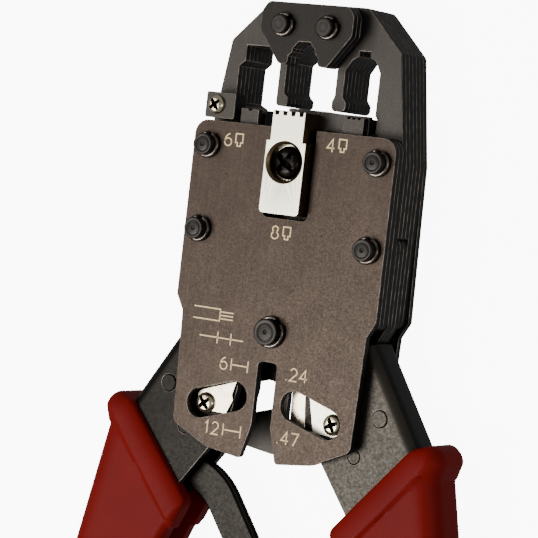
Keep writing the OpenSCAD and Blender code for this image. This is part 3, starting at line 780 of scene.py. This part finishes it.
class CRIMP_OT_grips(bpy.types.Operator):
    """Moulds the two grips, each with a rolled rim, a groove below it, a thumb stop and a slot on its inner side"""
    bl_idname = "crimp.grips"
    bl_label = "Grips"

    def execute(self, context):
        for name, side in (("left", -1), ("right", 1)):
            piece(name + "_grip_moulded", grip_shell(side), name + "_handle", [MATERIALS["vinyl"]], [name + "_grip"],
                  crease=50)
        return {"FINISHED"}


class CRIMP_OT_blades(bpy.types.Operator):
    """Grinds the two stripping blades; the right one has a stepped and hollow-ground tip"""
    bl_idname = "crimp.blades"
    bl_label = "Blades"

    def execute(self, context):
        m = MATERIALS
        top, under, middle_z = -2.6, -3.17, -2.89       # the tips pass each other like a pair of shears
        left = rounded([[-17.3, -18.2, 1.6], [-17.4, -14.4, 1.4], [-8.4, -11.3, 0], [-9.2, -14.2, 0.3],
                        [-8.8, -15.2, 0.3], [-10.2, -18.3, 0]], 6)
        made = piece("left_blade_ground", prism(left, middle_z + 0.02, top), "left_handle", [m["blade"]],
                     ["left_blade"])
        self.bevel(made)
        body = rounded([[9.0, -11.6, 0], [17.4, -15.0, 1.8], [16.6, -19.4, 1.8], [10.7, -18.9, 0]], 6)
        step = np.array([[7.9, -11.2], [9.0, -11.6], [10.7, -18.9], [8.6, -18.6]])
        tip = np.array([[4.8, -10.6], [7.9, -11.2], [8.6, -18.6], [4.95, -17.2]])
        # the step between the body and the tip takes the black screw steel: a painted shadow along the step
        shells = [prism(body, under, top), prism(step, under, top - 0.35), prism(tip, under, middle_z - 0.02)]
        for name, shell, key in zip(("body", "step", "tip"), shells, ("nickel", "dark", "blade")):
            made = piece("right_blade_" + name, shell, "right_handle", [m[key]], ["right_blade"])
            self.bevel(made)
        return {"FINISHED"}

    def bevel(self, made):
        bevel = made.modifiers.new("Honed edge", "BEVEL")
        bevel.width = 0.08 * MM
        bevel.segments = 2
        bevel.harden_normals = True


class CRIMP_OT_springs(bpy.types.Operator):
    """Winds the return spring round the centre pin and the small spring on the pawl's pin: x = r cos a, y = r sin a,
    with the depth growing evenly with a, and a straight leg at each end"""
    bl_idname = "crimp.springs"
    bl_label = "Springs"

    def execute(self, context):
        r = shape("spring_wire") / 2
        turns = np.radians(np.linspace(-150, 930, 220))
        depth = -5.8 - 4.0 * (turns - turns[0]) / np.ptp(turns)
        coil = np.stack([4.0 * np.cos(turns), 4.0 * np.sin(turns), depth], 1)
        legs = [np.array([[s * 6.6, -6.4, z], [s * 5.6, -4.2, z], [s * 4.6, -2.4, z]])
                for s, z in ((-1, -5.8), (1, -9.8))]
        path = np.concatenate([legs[0], coil[12:-40], legs[1][::-1]])
        piece("return_spring_wound", wire(path, r), "frame", [MATERIALS["spring"]], ["return_spring"])
        low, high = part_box("pawl_spring")
        centre = np.array([(low.x + high.x) / 2, (low.y + high.y) / 2]) / MM - (0, AXIS)
        z0, z1 = low.z / MM - FACE, high.z / MM - FACE
        turns = np.radians(np.linspace(0, 1000, 160))
        coil = np.stack([centre[0] + 1.85 * np.cos(turns), centre[1] + 1.85 * np.sin(turns),
                         z1 - 0.2 - (z1 - z0 - 0.4) * turns / turns[-1]], 1)
        piece("pawl_spring_wound", wire(coil, 0.2, 8), "pawl", [MATERIALS["spring"]], ["pawl_spring"])
        return {"FINISHED"}


def glyph(character):
    """A numeral as strokes in a box one wide and 1.55 high, and its width."""
    h = 1.55
    low = arc((0.5, 0.48), (0.5, 0.48), 0, 360, 33)
    return {
        "1": ([[(0.05, 1.2), (0.35, h), (0.35, 0)]], 0.6),
        "2": ([[*arc((0.5, 1.07), (0.46, 0.48), 160, -20, 20), (0.0, 0.0), (1.0, 0.0)]], 1),
        "4": ([[(0.75, 0), (0.75, h), (0, 0.48), (1.05, 0.48)]], 1),
        "6": ([low, arc((0.95, 0.55), (0.95, 1.0), 180, 105, 14)], 1),
        "7": ([[(0, h), (1, h), (0.35, 0)]], 1),
        "8": ([arc((0.5, 0.42), (0.5, 0.42), 0, 360, 33), arc((0.5, 1.19), (0.4, 0.36), 0, 360, 29)], 1),
        ".": ([[(0.05, 0.0), (0.05, 0.12)]], 0.15),
    }[character]


def number(text, at, size):
    """Strokes of a number whose lower left corner is at a place, with figures size wide."""
    out, x = [], 0.0
    for c in text:
        strokes, wide = glyph(c)
        out += [np.array(s, float) * size + (at[0] + x, at[1]) for s in strokes]
        x += (wide + 0.42) * size
    return out


def ribbon(line, width, low, high):
    """A printed line: two rails half a width each side of the line, and the same again below."""
    line = np.asarray(line, float)
    closed = np.allclose(line[0], line[-1])
    step = np.diff(line, axis=0)
    step /= np.linalg.norm(step, axis=1, keepdims=True)
    before = np.concatenate([step[-1:] if closed else step[:1], step])
    after = np.concatenate([step, step[:1] if closed else step[-1:]])
    way = before + after
    way /= np.linalg.norm(way, axis=1, keepdims=True)
    # the rails meet on the bisector at each corner
    stretch = 1 / np.clip(np.abs((way * after).sum(1)), 0.35, 1)
    side = np.stack([-way[:, 1], way[:, 0]], 1) * (stretch * width / 2)[:, None]
    rails = [(line + side, high), (line - side, high), (line - side, low), (line + side, low)]
    grid = np.stack([np.column_stack([p, np.full(len(p), z)]) for p, z in rails], 1)
    v, f = skin(grid, wrap=True)
    if not closed:
        f += [[3, 2, 1, 0], [len(v) - 4, len(v) - 3, len(v) - 2, len(v) - 1]]
    return v, f


class CRIMP_OT_marks(bpy.types.Operator):
    """Prints plain numbers, small plug outlines and a strip-length diagram on the front cover"""
    bl_idname = "crimp.marks"
    bl_label = "Printed marks"

    def execute(self, context):
        strokes = []
        for text, at in (("6", (-16.2, 36.4)), ("4", (8.0, 37.4)), ("8", (-2.6, 18.8)), ("6", (-11.2, -9.0)),
                         ("12", (-13.2, -22.5)), (".24", (4.6, -9.1)), (".47", (4.2, -22.0))):
            strokes += number(text, at, 1.62)
        # a plug seen from its open end, beside each cavity's number
        plug = np.array([(0, 0.7), (0, 2.5), (1.7, 2.5), (1.7, 0.7), (1.25, 0.7), (1.25, 0), (0.45, 0), (0.45, 0.7),
                         (0, 0.7)])
        strokes += [plug + at for at in ((-13.6, 36.5), (10.7, 37.6), (0.1, 18.9))]
        # a dimension line after each length
        for x, y, wide in ((-8.6, -9.0, 4.0), (-8.8, -22.4, 4.2)):
            strokes += [np.array([(0, 0), (0, 2.4)]) + (x, y), np.array([(wide, 0), (wide, 2.4)]) + (x, y),
                        np.array([(0, 1.2), (wide, 1.2)]) + (x, y)]
        # a stripped cable over its dimension line
        x, y = -19.0, 0.6
        strokes += [np.array([(0, 0), (6.4, 0), (6.4, 2.4), (0, 2.4)]) + (x, y)]
        strokes += [np.array([(6.4, h), (9.6, h)]) + (x, y) for h in (0.5, 1.2, 1.9)]
        strokes += [np.array([(6.4, -4.6), (6.4, -2.2)]) + (x, y), np.array([(9.6, -4.6), (9.6, -2.2)]) + (x, y),
                    np.array([(2.0, -3.4), (12.6, -3.4)]) + (x, y)]
        width = shape("stroke")
        piece("cover_marks", join(*[ribbon(s, width, -0.02, 0.02) for s in strokes]), "frame", [MATERIALS["ink"]])
        return {"FINISHED"}


# ---- stage ----

def aim(at, target):
    return (Vector(target) - Vector(at)).to_track_quat("-Z", "Y")


class CRIMP_OT_stage(bpy.types.Operator):
    """Lays the pale floor, sets the soft lights and places the camera"""
    bl_idname = "crimp.stage"
    bl_label = "Stage"

    def execute(self, context):
        scene = context.scene
        # floor: a matt white board with a faint unevenness, which glows by itself and adds nothing to the light
        material, tree, shader, place = start("White studio board")
        tone = ramp(tree, noise(tree, place, 60.0, detail=2.0), 0.3, 0.7, 0.96, 1.0)
        base = blend(tree, tone, dim(finish("floor"), 0.9), finish("floor"))
        tree.links.new(base, shader.inputs["Base Color"])
        shader.inputs["Roughness"].default_value = 0.9
        shader.inputs["Emission Color"].default_value = (1, 1, 1, 1)
        shader.inputs["Emission Strength"].default_value = 9.0
        mesh = bpy.data.meshes.new("floor")
        s, z = 3.0, -0.0006
        mesh.from_pydata([(-s, -s, z), (s, -s, z), (s, s, z), (-s, s, z)], [], [(0, 1, 2, 3)])
        mesh.materials.append(material)
        floor = bpy.data.objects.new("floor", mesh)
        scene.collection.objects.link(floor)
        floor.visible_diffuse = floor.visible_glossy = False

        world = bpy.data.worlds.new("Studio")
        scene.world = world
        world.use_nodes = True
        world.node_tree.nodes["Background"].inputs["Color"].default_value = (1, 1, 1, 1)
        world.node_tree.nodes["Background"].inputs["Strength"].default_value = 0.3

        for name, at, target, size, power in (
                ("key", (-0.26, -0.14, 0.6), (0, 0.02, 0), (0.3, 0.34), 4.2),
                ("top", (-0.42, 0.22, 0.6), (0, 0.05, 0), (0.2, 0.2), 0.8),
                ("side", (0.75, 0.0, 0.46), (0, 0.03, 0.01), (0.1, 0.6), 1.2)):
            data = bpy.data.lights.new(name, "AREA")
            data.shape = "RECTANGLE"
            data.size, data.size_y = size
            data.energy = power
            lamp = bpy.data.objects.new(name, data)
            lamp.location = at
            lamp.rotation_mode = "QUATERNION"
            lamp.rotation_quaternion = aim(at, target)
            scene.collection.objects.link(lamp)

        # camera: half a metre off, 31 degrees round to the right, rolled so that the head leans over
        az, el, roll = (math.radians(a) for a in (31.252, 2.582, 6.542))
        back = Vector((math.sin(az) * math.cos(el), math.sin(el), math.cos(az) * math.cos(el)))
        right = Vector((0, 1, 0)).cross(back).normalized()
        up = back.cross(right)
        turned = math.cos(roll) * right + math.sin(roll) * up, math.cos(roll) * up - math.sin(roll) * right
        data = bpy.data.cameras.new("camera")
        data.sensor_width = 36
        data.lens = 36 * 2475.343 / 538
        data.clip_start = 0.01
        camera = bpy.data.objects.new("camera", data)
        target = Vector(to_row((-2.23, 12.562, 0)))
        camera.matrix_world = Matrix.Translation(target + back * 0.5) @ Matrix(
            [turned[0], turned[1], back]).transposed().to_4x4()
        scene.collection.objects.link(camera)
        scene.camera = camera
        return {"FINISHED"}


OPERATORS = (CRIMP_OT_plates, CRIMP_OT_pins, CRIMP_OT_rings, CRIMP_OT_screws, CRIMP_OT_grips, CRIMP_OT_blades,
             CRIMP_OT_springs, CRIMP_OT_marks, CRIMP_OT_stage)


class CRIMP_PT_panel(bpy.types.Panel):
    """Lists the settings and the pieces"""
    bl_label = "Crimping tool"
    bl_idname = "CRIMP_PT_panel"
    bl_space_type = "VIEW_3D"
    bl_region_type = "UI"
    bl_category = "Crimping tool"

    def draw(self, context):
        for group in (context.scene.crimp_finish, context.scene.crimp_shape):
            for key in group.__annotations__:
                self.layout.prop(group, key)
        for kind in OPERATORS:
            self.layout.operator(kind.bl_idname)


CLASSES = (FinishSettings, ShapeSettings, *OPERATORS, CRIMP_PT_panel)


def register():
    for kind in CLASSES:
        bpy.utils.register_class(kind)
    bpy.types.Scene.crimp_finish = bpy.props.PointerProperty(type=FinishSettings)
    bpy.types.Scene.crimp_shape = bpy.props.PointerProperty(type=ShapeSettings)


def unregister():
    del bpy.types.Scene.crimp_finish, bpy.types.Scene.crimp_shape
    for kind in reversed(CLASSES):
        bpy.utils.unregister_class(kind)


def main():
    register()
    make_materials()
    for kind in OPERATORS:
        group, name = kind.bl_idname.split(".")
        getattr(getattr(bpy.ops, group), name)()


if __name__ == "__main__":
    main()
